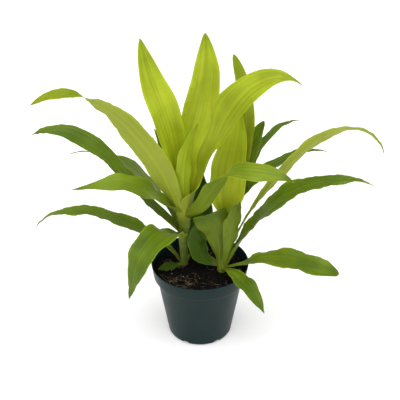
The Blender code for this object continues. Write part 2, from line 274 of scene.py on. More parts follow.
LEAVES = {
    "leaf_left_tall": Leaf(
        LEFT, 160, 160, (160, 140, 138), (89, 90, 85, 67, 60, 67, 78), 186, 33,
        (0, -20, -35), 0.52, 0.95, 0.5, "young", ripple=0.4, tone=0.2, burn=2, opening=0.2),
    "leaf_left_centre": Leaf(
        LEFT, 160, 75, (75, 50, 50, 50), (80, 78, 69, 67, 76, 90, 104), 187, 36,
        (0, 20, 30, 20), 0.5, 0.78, 0.5, "young", ripple=0.9, tone=0.2, burn=2, opening=0.2),
    "leaf_left_broad_arch": Leaf(
        LEFT, 154, 340, (345, 360, 355), (84, 70.5, 71, 67, 53, 20, -48), 217, 41,
        (0, 10, 13, 22, 42, 30, 5), 0.54, 1.25, 0.85, "young", ripple=1, tone=-0.05, opening=0.2),
    "leaf_left_spear": Leaf(
        LEFT, 160, 270, (270, 290, 320, 350, 360), (88, 87, 84, 73, 62), 108, 17,
        (0, -10, -25, -45, -60), 0.5, 1.1, 0.7, "bud", ripple=0.3, tone=0.1, burn=1, opening=0.2),
    "leaf_left_long_arch": Leaf(
        LEFT, 152, 236, (230, 190, 176), (74, 70, 66, 60, 55, 45, 28, -10, -40), 238, 28,
        (0, 40, 62, 68, 62, 52, -38, -55),
        0.38, 0.95, 0.6, "young", ripple=2, tone=-0.2, burn=2, sheath=40, opening=0.2),
    "leaf_left_upper_side": Leaf(
        LEFT, 130, 178, (182, 178), (48, 54, 53, 29, -32), 204, 20,
        (0, -15, -25, -30, -10),
        0.74, 1.5, 0.8, "old", ripple=1.8, tone=0.2, burn=7, sheath=34, opening=0.3),
    "leaf_left_behind": Leaf(
        LEFT, 132, 125, (130, 163, 158), (38, 44, 27, 6, -36), 166, 26,
        (0, 50, 70, 30, 0), 0.4, 1.6, 0.6, "old", ripple=1.2, tone=0.2, burn=7, opening=0.25),
    "leaf_left_level": Leaf(
        LEFT, 155, 212, (200, 196, 194, 191, 190), (46, 44, 41, 23, 0, -7, -3), 128, 32,
        (0, -10, -25, -20),
        0.3, 1.7, 0.62, "middle", ripple=1.2, tone=0.35, burn=5, sheath=36, opening=0.25),
    "leaf_left_lowest": Leaf(
        LEFT, 90, 180, (178,), (57, 33, 20, -8, -66), 192, 24,
        (0,), 0.4, 1.3, 0.3, "old", ripple=2, tone=0.5, burn=8),
    "leaf_left_drooping": Leaf(
        LEFT, 124, 250, (248, 217), (42, 34, -18, -66, -74), 132, 38,
        (0,), 0.4, 1.1, 0.45, "middle", ripple=2, tone=-0.1, burn=2, sheath=26, opening=0.25),
    "leaf_left_back": Leaf(
        LEFT, 147, 105, (110, 122), (58, 58, 48, 33, 25), 102, 16,
        (0,), 0.5, 1.2, 0.4, "old", ripple=0.4, tone=-0.4, burn=6),
    # this leaf takes the colours with painted shade on its under side and foot
    "leaf_left_crossing": Leaf(
        LEFT, 153, 285, (318, 325, 330, 340, 345), (28, 48, 60, 61, 52, 14, 4, -2, -30), 158, 25,
        (-75, -65, -45, -15, 20, 30, 25),
        0.62, 1, 0.5, "sheltered", ripple=0.9, tone=0.3, burn=1, sheath=30, opening=0.25),
    "leaf_left_inner": Leaf(
        LEFT, 90, 50, (45, 70), (50, 62, 80, 90, 92), 106, 28,
        (0, 20, 20), 0.4, 1.2, 0.8, "old", ripple=0.8, tone=-0.9, opening=0.25),
    "leaf_left_small": Leaf(
        LEFT, 86, 225, (205, 200), (3, 8, 2, -8, -10), 27, 11,
        (0, -20, -20), 0.5, 1, 0.4, "old", ripple=0.3, tone=-0.8, burn=1),
    "leaf_right_broad": Leaf(
        RIGHT, 128, 92, (88, 62, 58), (83, 81, 77, 71, 70), 140, 41,
        (0, 5, 10), 0.4, 0.9, 0.2, "young", ripple=0.8, tone=0.4, burn=1),
    "leaf_right_tall": Leaf(
        RIGHT, 119, 38, (42, 72, 160), (70, 73, 75, 72, 68), 206, 17,
        (0, 0, -30), 0.72, 0.6, 0.32, "young", ripple=0.3, tone=-0.3, burn=1),
    "leaf_right_long_arch": Leaf(
        RIGHT, 102, 15, (8, -3, -9), (74, 68, 59, 56, 52, 44, 24, -28, -80), 255, 18,
        (0, -50, -60, -50, -30), 0.64, 1.2, 0.18, "young", ripple=1.3, tone=0.1, burn=2),
    "leaf_right_dark": Leaf(
        RIGHT, 91, 350, (344, 353, 356), (68, 67, 57, 56, 44, 27, 13, 2, -40), 211, 31,
        (0, 10, 15), 0.42, 1.4, 0.3, "old", ripple=2.2, tone=0.2, burn=16),
    "leaf_right_blunt": Leaf(
        RIGHT, 89, 335, (-22, -8), (24, 31, 1, -12, -15), 130, 30,
        (0, 10, 15), 0.6, 0.5, 0.14, "middle", ripple=2, tone=0.1, burn=1),
    "leaf_right_drooping": Leaf(
        RIGHT, 87, 290, (300, 308), (40, 5, -7, -33, -44), 83, 20,
        (0,), 0.5, 1.1, 0.25, "middle", ripple=1.4, tone=-0.1, burn=1),
    "leaf_right_fan": Leaf(
        RIGHT, 92, 238, (238, 215, 195), (90, 88, 84, 75, 66, 62), 73, 40,
        (0, 35, 50, 65, 70),
        0.95, 0.35, 0.2, "middle", ripple=1.2, tone=-0.2, burn=-1.5, waves=2.2, opening=0.3),
    "leaf_right_fan_side": Leaf(
        RIGHT, 98, 300, (300, 318, 342), (72, 80, 84, 76, 74), 84, 20,
        (0, -30, -30), 0.7, 0.8, 0.4, "middle", ripple=2.4, tone=0.2, burn=2, opening=0.25),
    "leaf_right_back_upper": Leaf(
        RIGHT, 110, 83, (83, 54, 42, 30, 20), (54, 61, 61, 55, 45, 24, -18), 179, 19,
        (0,), 0.32, 1.1, 0.25, "old", ripple=1.6, tone=0.1, burn=9),
    "leaf_right_back_peak": Leaf(
        RIGHT, 106, 112, (104, 36, 0, 0), (66, 70, 67), 157, 22,
        (0, 40, 40), 0.72, 0.7, 0.24, "old", ripple=0.7, tone=0.4, burn=1),
    "leaf_right_back_lower": Leaf(
        RIGHT, 97, 40, (40, 30, 26, 20, 12, 6), (70, 78, 84, 76, 34, 26, 24, 2, -26), 192, 20,
        (0,), 0.55, 1.3, 0.3, "old", ripple=1.6, tone=0.1, burn=8),
    "leaf_right_inner": Leaf(
        RIGHT, 90, 185, (175, 150), (15, 40, 74, 82, 88), 60, 24,
        (0, -30, -50), 0.5, 1, 0.5, "old", tone=-0.9, burn=0, opening=0.3),
}

LEAF_SLOTS = {
    "young": "leaf_lime", "bud": "leaf_lime",
    "middle": "leaf_green", "sheltered": "leaf_green",
    "old": "leaf_dark",
}


class Value:
    """A number on a node's socket: arithmetic on it adds Math nodes to its tree."""

    def __init__(self, bench, socket):
        self.bench = bench
        self.socket = socket

    def output(self, name):
        """Another output of the same node."""
        return Value(self.bench, self.socket.node.outputs[name])

    def __add__(self, other):
        return self.bench.maths("ADD", self, other)

    __radd__ = __add__

    def __sub__(self, other):
        return self.bench.maths("SUBTRACT", self, other)

    def __rsub__(self, other):
        return self.bench.maths("SUBTRACT", other, self)

    def __mul__(self, other):
        return self.bench.maths("MULTIPLY", self, other)

    __rmul__ = __mul__

    def __truediv__(self, other):
        return self.bench.maths("DIVIDE", self, other)

    def __pow__(self, power):
        return self.bench.maths("POWER", self, power)

    def __lt__(self, other):
        return self.bench.maths("LESS_THAN", self, other)

    def __gt__(self, other):
        return self.bench.maths("GREATER_THAN", self, other)


def in_use(sockets, key):
    """A node's socket by its number, or by its name among those that its settings leave in use."""
    if isinstance(key, int):
        return sockets[key]
    return next(socket for socket in sockets if socket.name == key and socket.enabled)


class Bench:
    """A node tree that is filled by calls."""

    def __init__(self, tree):
        self.tree = tree

    def node(self, kind, settings, sockets, out=0):
        """Adds a node, its settings first and then its sockets' values or links, and gives an output."""
        made = self.tree.nodes.new(kind)
        for name, value in settings.items():
            setattr(made, name, value)
        for name, value in sockets.items():
            socket = in_use(made.inputs, name)
            if isinstance(value, Value):
                self.tree.links.new(value.socket, socket)
            else:
                socket.default_value = value
        return Value(self, in_use(made.outputs, out))

    def maths(self, operation, *values):
        return self.node("ShaderNodeMath", {"operation": operation}, dict(enumerate(values)))

    def vector(self, operation, *values):
        return self.node("ShaderNodeVectorMath", {"operation": operation}, dict(enumerate(values)))

    def scaled(self, vector, factor):
        return self.node("ShaderNodeVectorMath", {"operation": "SCALE"}, {0: vector, "Scale": factor})

    def drawn_out(self, vector, share):
        """A place for noise that is drawn out upwards."""
        return self.vector("MULTIPLY", vector, (1.0, 1.0, share))

    def combine(self, x, y, z):
        return self.node("ShaderNodeCombineXYZ", {}, {0: x, 1: y, 2: z})

    def separate(self, vector):
        first = self.node("ShaderNodeSeparateXYZ", {}, {0: vector})
        return first, first.output("Y"), first.output("Z")

    def attribute(self, name, kind):
        """A value that a mesh carries, in a geometry tree."""
        return self.node("GeometryNodeInputNamedAttribute", {"data_type": kind}, {"Name": name})

    def step(self, value, low, high):
        """A smooth rise from 0 to 1 as the value goes from low to high."""
        ends = {"Value": value, "From Min": low, "From Max": high}
        return self.node("ShaderNodeMapRange", {"interpolation_type": "SMOOTHSTEP"}, ends)

    def fade(self, value, low, high):
        """A smooth fall from 1 to 0 as the value goes from low to high."""
        return 1 - self.step(value, low, high)

    def noise(self, vector, scale, detail=2.0, roughness=0.5):
        """Soft random values about 0, mostly within a quarter of it."""
        sockets = {"Vector": vector, "Scale": scale, "Detail": detail, "Roughness": roughness}
        return self.node("ShaderNodeTexNoise", {}, sockets, "Fac") - 0.5

    def swing(self, vector, scale=1.0, detail=2.0):
        """Soft random values, mostly from -1 to 1."""
        return self.noise(vector, scale, detail) * 4

    def streaks(self, across, along, counts, seed, detail=2.0, roughness=0.5):
        """Noise with its own count of marks across and along a blade."""
        place = self.combine(across * counts[0], along * counts[1], seed)
        return self.noise(place, 1.0, detail, roughness)

    def mix(self, factor, first, second):
        """A colour between two."""
        sockets = {"Factor": factor, "A": first, "B": second}
        return self.node("ShaderNodeMix", {"data_type": "RGBA"}, sockets, "Result")


class Skin(Bench):
    """A new material, with the constants of its shader set by socket."""

    def __init__(self, name, look):
        self.material = bpy.data.materials.new(name)
        self.material.use_nodes = True
        super().__init__(self.material.node_tree)
        self.shader = self.tree.nodes["Principled BSDF"]
        for socket, value in look.items():
            self.shader.inputs[socket].default_value = value

    def place(self):
        return self.node("ShaderNodeTexCoord", {}, {}, "Object")

    def finish(self, colour, roughness, relief, strength, depth):
        """Feeds the shader its colour, roughness and relief, and gives the material."""
        bump = self.node("ShaderNodeBump", {}, {
            "Strength": strength, "Distance": depth, "Height": relief}, "Normal")
        for socket, value in {"Base Color": colour, "Roughness": roughness, "Normal": bump}.items():
            self.tree.links.new(value.socket, self.shader.inputs[socket])
        return self.material


def shape_tree(name, inputs):
    """A geometry tree with named inputs, listed by kind, as a bench and its inputs by name."""
    tree = bpy.data.node_groups.new(name, "GeometryNodeTree")
    tree.interface.new_socket("Geometry", in_out="INPUT", socket_type="NodeSocketGeometry")
    for kind, labels in inputs.items():
        for label in labels:
            tree.interface.new_socket(label, in_out="INPUT", socket_type="NodeSocket" + kind)
    tree.interface.new_socket("Geometry", in_out="OUTPUT", socket_type="NodeSocketGeometry")
    bench = Bench(tree)
    entry = tree.nodes.new("NodeGroupInput")
    return bench, {socket.name: Value(bench, socket) for socket in entry.outputs if socket.name}


def close_tree(bench, geometry, skin):
    """Ends a geometry tree: smooth faces, real geometry and its material."""
    smooth = bench.node("GeometryNodeSetShadeSmooth", {}, {"Geometry": geometry})
    real = bench.node("GeometryNodeRealizeInstances", {}, {"Geometry": smooth})
    skinned = bench.node("GeometryNodeSetMaterial", {}, {"Geometry": real, "Material": skin})
    end = bench.tree.nodes.new("NodeGroupOutput")
    bench.tree.links.new(skinned.socket, end.inputs[0])
    return bench.tree


def added(name, data):
    """A new object in the scene."""
    obj = bpy.data.objects.new(name, data)
    bpy.context.scene.collection.objects.link(obj)
    return obj


def settle(obj):
    """Keeps what an object's modifier makes as its plain mesh."""
    evaluated = obj.evaluated_get(bpy.context.evaluated_depsgraph_get())
    result = bpy.data.meshes.new_from_object(evaluated)
    obj.modifiers.clear()
    obj.data = result
    result.name = obj.name


def shaped(name, mesh, tree, values):
    """Runs a geometry tree on a mesh and keeps what it makes as a plain mesh object."""
    obj = added(name, mesh)
    modifier = obj.modifiers.new("shape", "NODES")
    modifier.node_group = tree
    for item in tree.interface.items_tree:
        if item.in_out == "INPUT" and item.name in values:
            modifier[item.identifier] = values[item.name]
    settle(obj)
    return obj


def keep(piece, slot, *nodes):
    """A finished piece of the plant: it rides on its only body and stands for these nodes."""
    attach(piece, "root")
    if nodes:
        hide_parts(*nodes)


def ease(share):
    """A smooth rise from 0 to 1."""
    share = np.clip(share, 0.0, 1.0)
    return share * share * (3 - 2 * share)


def along_leaf(values, share):
    """Values listed evenly from foot to tip, read at shares of the leaf's length."""
    return np.interp(share, np.linspace(0, 1, len(values)), values)


def column_at(stem, height):
    """Middle and radius of a stem's column at a height above the floor."""
    foot = Vector((*stem.foot, SOIL_HEIGHT))
    top = Vector(stem.top)
    along = (height - foot.z) / (top.z - foot.z)
    radius = np.interp(along, np.linspace(0, 1, len(stem.radii)), stem.radii) * MM
    return foot.lerp(top, along), float(radius)


def directions(heading, climb, roll):
    """Along, across and facing directions of a blade for angles in radians."""
    tangent = np.stack([np.cos(climb) * np.cos(heading), np.cos(climb) * np.sin(heading), np.sin(climb)], -1)
    level = np.stack([-np.sin(heading), np.cos(heading), np.zeros_like(heading)], -1)
    upper = np.cross(tangent, level)
    roll = roll[:, None]
    return tangent, level * np.cos(roll) + upper * np.sin(roll), upper * np.cos(roll) - level * np.sin(roll)


def line_mesh(name, points, carried, edges=None):
    """A mesh of edges, from each point to the next if none are given. Its points carry named values."""
    line = bpy.data.meshes.new(name)
    line.from_pydata(points, edges or [(k, k + 1) for k in range(len(points) - 1)], [])
    for label, values in carried.items():
        values = np.asarray(values)
        kind, field = ("FLOAT", "value") if values.ndim == 1 else ("FLOAT_VECTOR", "vector")
        line.attributes.new(label, kind, "POINT").data.foreach_set(field, values.ravel())
    return line


def tube(bench, line, sides):
    """A skin round a line of edges, as wide as its points' radius says."""
    curve = bench.node("GeometryNodeMeshToCurve", {}, {"Mesh": line}, "Curve")
    section = bench.node("GeometryNodeCurvePrimitiveCircle", {}, {"Resolution": sides, "Radius": 1.0})
    radius = bench.attribute("radius", "FLOAT")
    return bench.node("GeometryNodeCurveToMesh", {}, {
        "Curve": curve, "Profile Curve": section, "Scale": radius, "Fill Caps": True})


def blade_rows(leaf):
    """The blade's rows from foot to tip: share, place, across, face, half width and bend."""
    rows = round(leaf.length * MM / ROW_LENGTH)
    share = np.linspace(0, 1, rows + 1)
    heading = np.radians(along_leaf(leaf.heading, share))
    climb = np.radians(along_leaf(leaf.climb, share))
    roll = np.radians(along_leaf(leaf.roll, share))
    tangent, across, face = directions(heading, climb, roll)
    middle, radius = column_at(STEMS[leaf.stem], leaf.height * MM)
    reach = radius + GAP + CAD_BLADE_THICKNESS
    side = math.radians(leaf.side)
    foot = np.array(middle) + reach * np.array([math.cos(side), math.sin(side), 0.0])
    steps = (tangent[1:] + tangent[:-1]) / 2 * leaf.length * MM / rows
    path = foot + np.concatenate([np.zeros((1, 3)), np.cumsum(steps, axis=0)])
    widening = leaf.neck + (1 - leaf.neck) * ease(share / leaf.widest)
    narrowing = 1 - np.clip((share - leaf.widest) / (1 - leaf.widest), 0, 1) ** 2
    half_width = leaf.width * MM / 2 * widening * narrowing ** leaf.point
    tail = TAIL_HALF_WIDTH * ease((1 - share) * leaf.length * MM / (TAIL_ROWS * ROW_LENGTH))
    opened = ease(share / leaf.opening)
    bend = (1 - opened) / reach + opened / CHANNEL_RADIUS
    return share, path, across, face, half_width + tail, bend


def sheath_rows(leaf, foot, half_width):
    """Rows below the foot, from the hidden end up, where the blade clasps the stem."""
    stem = STEMS[leaf.stem]
    length = min(leaf.sheath * MM, foot[2] - SOIL_HEIGHT + ROOT_DEPTH / 2)
    rows = max(SHEATH_LEAST_ROWS, round(length / ROW_LENGTH))
    down = np.arange(rows, 0, -1) / rows
    climb = leaf.climb[0] + (SHEATH_CLIMB - leaf.climb[0]) * ease(down * length / SHEATH_TURN)
    climb = np.radians(np.append(climb, leaf.climb[0]))
    heading = np.full(rows + 1, math.radians(leaf.side))
    tangent, across, face = directions(heading, climb, np.zeros(rows + 1))
    steps = (tangent[1:] + tangent[:-1]) / 2 * length / rows
    path = foot - np.cumsum(steps[::-1], axis=0)[::-1]
    away = []
    for point in path:
        middle, radius = column_at(stem, point[2])
        away.append(max(math.hypot(point[0] - middle.x, point[1] - middle.y), radius / 4))
    away = np.array(away)
    wrapped = half_width + (SHEATH_WRAP * away - half_width) * ease(down * SHEATH_SPREAD)
    return -down * length, path, across[:-1], face[:-1], wrapped, 1 / away


def leaf_line(leaf):
    """The leaf's midrib as a line of points that carry the blade's shape."""
    share, path, across, face, half_width, bend = blade_rows(leaf)
    below, low_path, low_across, low_face, wrapped, low_bend = sheath_rows(leaf, path[0], half_width[0])
    run = np.concatenate([below, share * leaf.length * MM])
    plump = TIP_HALF_THICKNESS + (BLADE_HALF_THICKNESS - TIP_HALF_THICKNESS) * (1 - share)
    plump = np.concatenate([np.full(len(below), BLADE_HALF_THICKNESS), plump])
    half_width = np.concatenate([wrapped, half_width])
    for end in (0, -1):
        plump[end] = 0.0
        half_width[end] = 0.0
    return line_mesh("midrib", np.concatenate([low_path, path]).tolist(), {
        "run": run, "share": run / (leaf.length * MM), "half_width": half_width, "plump": plump,
        "bend": np.concatenate([low_bend, bend]), "across": np.concatenate([low_across, across]),
        "face": np.concatenate([low_face, face]),
    })


def blade_tree():
    """The tree that lays a leaf's skin round its midrib: arc, edge waves, pleats, groove and rib."""
    bench, given = shape_tree("leaf_blade", {
        "Int": ["Cells Across"],
        "Float": [
            "Edge Wave", "Waves", "Wave Lag", "Wave Start", "Tip Calm", "Ripple Height", "Ripples",
            "Pleat Height", "Pleats", "Pleat Drift", "Groove Depth", "Rib Height", "Rib Width",
            "Length", "Tone", "Burn", "Seed",
        ],
        "Material": ["Skin"],
    })
    line = given["Geometry"]
    seed = given["Seed"]
    rows = bench.node("GeometryNodeAttributeDomainSize", {}, {"Geometry": line})
    grid = bench.node("GeometryNodeMeshGrid", {}, {
        "Size X": 1.0, "Size Y": 1.0, "Vertices X": given["Cells Across"] * 2 + 1, "Vertices Y": rows})
    place = bench.node("GeometryNodeInputPosition", {}, {})
    # The grid folds round the blade: aside is -1 and 1 at its edges, side is 1 above and -1 below
    around, along = bench.separate(place)[:2]
    aside = 1 - bench.maths("ABSOLUTE", around * 4)
    side = (around < 0) * 2 - 1
    row = bench.maths("ROUND", (along + 0.5) * (rows - 1))

    def from_line(name, kind="FLOAT"):
        value = place if name == "position" else bench.attribute(name, kind)
        return bench.node("GeometryNodeSampleIndex", {"data_type": kind},
                          {"Geometry": line, "Value": value, "Index": row})

    middle, across, face = [from_line(name, "FLOAT_VECTOR") for name in ("position", "across", "face")]
    half_width, plump, bend, share, run = [
        from_line(name) for name in ("half_width", "plump", "bend", "share", "run")]

    on_blade = bench.step(share, 0.0, given["Wave Start"])
    before_tip = bench.step(1 - share, 0.0, given["Tip Calm"])
    beyond = aside > 0
    edge = bench.maths("ABSOLUTE", aside)
    inside = 1 - edge ** MIDDLE_POWER
    swell = bench.maths("SINE", TAU * given["Waves"] * share + given["Wave Lag"] * beyond)
    wave = given["Edge Wave"] * 2 * half_width * aside * aside * on_blade * swell
    ripple_at = bench.combine(share * given["Ripples"], beyond * 7.0 + seed, seed)
    ripple = given["Ripple Height"] * bench.swing(ripple_at) * edge ** EDGE_POWER * on_blade * before_tip
    pleat_at = bench.combine(aside * given["Pleats"] / 2, share * given["Pleat Drift"], seed + 3.0)
    pleat = given["Pleat Height"] * bench.swing(pleat_at, detail=1.0) * inside * before_tip
    beside = aside * half_width / given["Rib Width"]
    crease = (1 - share) * before_tip / (1 + beside * beside)
    groove = given["Groove Depth"] * crease * on_blade
    rib = given["Rib Height"] * crease * (1 - side) / 2
    turn = half_width * aside * bend
    cosine = bench.maths("COSINE", turn)
    sine = bench.maths("SINE", turn)
    normal = bench.vector("SUBTRACT", bench.scaled(face, cosine), bench.scaled(across, sine))
    out = plump * bench.maths("SQRT", inside) * side + pleat - groove - rib
    point = bench.vector("ADD", middle, bench.scaled(across, sine / bend))
    point = bench.vector("ADD", point, bench.scaled(face, (1 - cosine) / bend + wave + ripple))
    point = bench.vector("ADD", point, bench.scaled(normal, out))
    skin = grid
    for name, value in (
        ("blade", bench.combine(aside, share, side)),
        ("lay", bench.combine(aside * half_width, run, seed)),
        ("habit", bench.combine(given["Tone"], given["Burn"], given["Length"])),
    ):
        skin = bench.node("GeometryNodeStoreNamedAttribute", {"data_type": "FLOAT_VECTOR"},
                          {"Geometry": skin, "Name": name, "Value": value})
    moved = bench.node("GeometryNodeSetPosition", {}, {"Geometry": skin, "Position": point})
    closed = bench.node("GeometryNodeMergeByDistance", {}, {"Geometry": moved, "Distance": WELD})
    return close_tree(bench, closed, given["Skin"])


def plain_floor():
    """The pale floor that the pot stands on."""
    bm = bmesh.new()
    bmesh.ops.create_grid(bm, x_segments=1, y_segments=1, size=FLOOR_SIZE)
    floor = mesh_object("floor", bm, Skin("pale_floor", FLOOR_LOOK).material)


def soft_light():
    """Even white light from all round, with broad soft lamps above, in front and at both sides."""
    scene = bpy.context.scene
    world = bpy.data.worlds.new("studio")
    world.use_nodes = True
    sky = world.node_tree.nodes["Background"]
    sky.inputs["Color"].default_value = WHITE
    sky.inputs["Strength"].default_value = SKY_STRENGTH
    scene.world = world
    scene.view_settings.view_transform = "Standard"
    for name, (strength, about_x, about_y) in LAMPS.items():
        lamp = bpy.data.lights.new(name, "SUN")
        lamp.energy = strength
        lamp.angle = math.radians(LAMP_SPREAD)
        added(name, lamp).rotation_euler = (math.radians(about_x), math.radians(about_y), 0.0)


def photo_camera():
    """The camera, where the photograph was taken from."""
    camera = bpy.data.cameras.new("camera")
    camera.lens = CAMERA_LENS
    camera.sensor_width = FILM_WIDTH
    camera.clip_start = NEAREST_SEEN
    obj = added("camera", camera)
    obj.location = CAMERA_PLACE
    obj.rotation_euler = (math.radians(90 - CAMERA_PITCH), 0.0, 0.0)
    bpy.context.scene.camera = obj


def leaf_skin(age):
    """A leaf's finish: parallel veins, a pale margin and midrib, a duller under side and a dried tip."""
    skin = Skin("leaf_" + age, LEAF_LOOK)
    light, deep, under, foot = [(*colour, 1.0) for colour in LEAF_COLOURS[age]]

    def read(attribute):
        return skin.separate(skin.node("ShaderNodeAttribute", {"attribute_name": attribute}, {}, "Vector"))

    aside, share, side = read("blade")
    beside, run, seed = read("lay")
    tone, burn, length = read("habit")
    below = side < 0
    broad = skin.noise(skin.combine(beside, run, seed), PATCH_SCALE, detail=3.0)
    bands = skin.streaks(aside, share, BANDS, seed + 5.0)
    veins = skin.streaks(aside, share, VEINS, seed + 9.0, detail=3.0, roughness=0.7)
    fine = skin.streaks(beside, run, FINE_VEINS, seed)
    # tone darkens or lightens the whole leaf, partly as its own colour and partly as painted light and shade
    depth = 0.5 - tone * 0.6 - broad * 0.8 - bands * 0.75 - veins * 0.6 + share * 0.15
    colour = skin.mix(skin.step(depth, 0.0, 1.0), light, deep)
    colour = skin.mix(below * (0.72 + veins * 0.9 + bands * 0.6), colour, under)

    rib = skin.fade(skin.maths("ABSOLUTE", beside), *RIB_FADE) * skin.fade(share, *RIB_END_FADE)
    colour = skin.mix(rib * (0.15 + below * 0.08), colour, light)
    colour = skin.mix(skin.fade(share, *FOOT_FADE) * 0.8, colour, foot)
    colour = skin.mix(skin.fade(run, *CLASPING_FADE) * 0.9, colour, CLASPING)
    margin = skin.step(skin.maths("ABSOLUTE", aside), *MARGIN_FADE)
    colour = skin.mix(margin * 0.35, colour, light)

    to_tip = length * (1 - share) + skin.streaks(beside, run, TIP_FINGERS, seed) * FINGER_LENGTH
    colour = skin.mix(skin.fade(to_tip, *TIP_FADE) * 0.6, colour, deep)

    def dried(start, end, blur):
        return skin.fade(to_tip, burn * start * MM, burn * end * MM + blur)

    dry = dried(*TAN_FADE)
    colour = skin.mix(dry, colour, TAN)
    colour = skin.mix(dried(*DRY_FADE), colour, DRY)
    roughness = 0.42 + veins * 0.25 + below * 0.12 + dry * 0.2
    relief = veins * 0.7 + fine * 0.35 + broad * 0.3
    return skin.finish(colour, roughness, relief, strength=0.35, depth=0.0006)


def grow_leaves():
    """Every leaf, each a closed skin in place of its plain blade."""
    tree = blade_tree()
    skins = {age: leaf_skin(age) for age in LEAF_SLOTS}
    for number, (name, leaf) in enumerate(LEAVES.items()):
        length = leaf.length * MM
        piece = shaped(name + "_blade", leaf_line(leaf), tree, {
            **BLADE_FORM, "Waves": leaf.waves, "Ripple Height": leaf.ripple * MM,
            "Ripples": length / RIPPLE_LENGTH, "Length": length, "Tone": leaf.tone, "Burn": leaf.burn,
            "Seed": 11.0 * number + 1.0, "Skin": skins[leaf.age],
        })
        keep(piece, LEAF_SLOTS[leaf.age], name)


def column_tree():
    """The tree that makes a stem: a tube round its line, roughened by ridges and the rings of old sheaths."""
    bench, given = shape_tree("stem_column", {
        "Int": ["Sides"],
        "Float": ["Ridge Height", "Ridges", "Ring Height", "Ring Spacing", "Ring Wander", "Ring Edge"],
        "Material": ["Skin"],
    })
    place = bench.node("GeometryNodeInputPosition", {}, {})
    normal = bench.node("GeometryNodeInputNormal", {}, {})
    ridge = bench.swing(bench.drawn_out(place, 0.06), given["Ridges"], detail=3.0) * given["Ridge Height"]
    height = bench.separate(place)[2] + bench.noise(place, scale=90.0) * given["Ring Wander"]
    ring = bench.maths("PINGPONG", height, given["Ring Spacing"] / 2)
    lip = bench.step(ring, 0.0, given["Ring Edge"]) * given["Ring Height"]
    moved = bench.node("GeometryNodeSetPosition", {}, {
        "Geometry": tube(bench, given["Geometry"], given["Sides"]),
        "Offset": bench.scaled(normal, ridge + lip),
    })
    return close_tree(bench, moved, given["Skin"])


def column_line(stem):
    """A stem's middle line with its radius, from under the soil to the bud."""
    heights = np.linspace(SOIL_HEIGHT - ROOT_DEPTH, stem.top[2], COLUMN_STEPS + 1)
    points, radii = zip(*[column_at(stem, height) for height in heights])
    return line_mesh("stem_line", points, {"radius": COLUMN_SHARE * np.array(radii)})


def sheath_skin():
    """The stems' finish: pale olive, streaked lengthwise, browner near the soil."""
    skin = Skin("sheath", {"Specular IOR Level": 0.35})
    deep, pale, brown = (0.06, 0.09, 0.008, 1.0), (0.17, 0.225, 0.028, 1.0), (0.10, 0.085, 0.030, 1.0)
    place = skin.place()
    streak = skin.noise(skin.drawn_out(place, 0.05), scale=900.0, detail=3.0)
    blotch = skin.noise(place, scale=120.0, detail=3.0)
    colour = skin.mix(skin.step(streak * 1.6 + blotch + 0.5, 0.0, 1.0), deep, pale)
    above_soil = skin.separate(place)[2] - SOIL_HEIGHT + blotch * 0.01
    colour = skin.mix(skin.fade(above_soil, -0.001, 0.014) * 0.8, colour, brown)
    return skin.finish(colour, 0.5 + streak * 0.3, streak, strength=0.4, depth=0.0004)


def raise_stems():
    """Both stems, in place of the plain columns."""
    tree = column_tree()
    skin = sheath_skin()
    for name, stem in STEMS.items():
        piece = shaped(name + "_column", column_line(stem), tree, {**COLUMN_FORM, "Skin": skin})
        keep(piece, "sheaths", name)


def turned(profile, sides):
    """A closed body turned round Z from a profile that starts and ends on the axis."""
    bm = bmesh.new()
    verts = [bm.verts.new((radius, 0.0, height)) for radius, height in profile]
    edges = [bm.edges.new(pair) for pair in zip(verts, verts[1:])]
    bmesh.ops.spin(bm, geom=verts + edges, cent=(0, 0, 0), axis=(0, 0, 1), angle=TAU, steps=sides)
    bmesh.ops.remove_doubles(bm, verts=bm.verts, dist=GAP / 100)
    bmesh.ops.recalc_face_normals(bm, faces=bm.faces)
    return bm


def mesh_object(name, bm, material, smooth_angle=SMOOTH_ANGLE):
    """A bmesh as an object, smooth up to an angle."""
    mesh = bpy.data.meshes.new(name)
    bm.to_mesh(mesh)
    bm.free()
    mesh.materials.append(material)
    mesh.shade_smooth()
    mesh.set_sharp_from_angle(angle=math.radians(smooth_angle))
    return added(name, mesh)


def inner_wall(height):
    """Radius of the pot's inner face at a height below the collar."""
    taper = (WALL_TOP_RADIUS - WALL_FOOT_RADIUS) / WALL_TOP_HEIGHT
    return WALL_FOOT_RADIUS + taper * height - WALL_THICKNESS


def rounded(corner, before, after, size, steps=4):
    """Points round a corner of the pot's section, which starts and ends a size from it."""
    corner, before, after = Vector(corner), Vector(before), Vector(after)
    start = corner + (before - corner).normalized() * size
    end = corner + (after - corner).normalized() * size
    points = []
    for k in range(steps + 1):
        t = k / steps
        points.append(tuple(start.lerp(corner, t).lerp(corner.lerp(end, t), t)))
    return points


